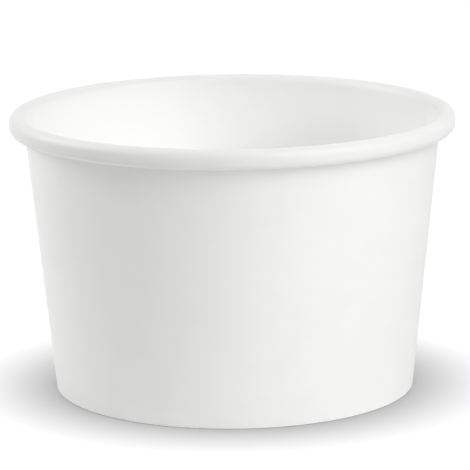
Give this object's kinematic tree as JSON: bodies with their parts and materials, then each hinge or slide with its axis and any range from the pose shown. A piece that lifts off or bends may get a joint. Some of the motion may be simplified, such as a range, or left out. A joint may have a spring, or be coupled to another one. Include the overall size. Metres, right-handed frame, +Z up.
{
  "type": "paper ice cream cup",
  "caption": "Plain white paperboard cup with a conical wall, a rolled rim and a recessed base held by a folded hem.",
  "frame": {"origin": "centre of the circle that the cup stands on, on its axis", "axes": "+Z up along the cup's axis, out of its mouth; the side seam lies near +X, just behind it towards +Y"},
  "size_m": [0.095, 0.095, 0.06],
  "materials": {
    "wall_board": "satin",
    "base_board": "satin"
  },
  "bodies": {
    "root": {"side_wall": "wall_board", "base_disc": "base_board"}
  },
  "joints": []
}
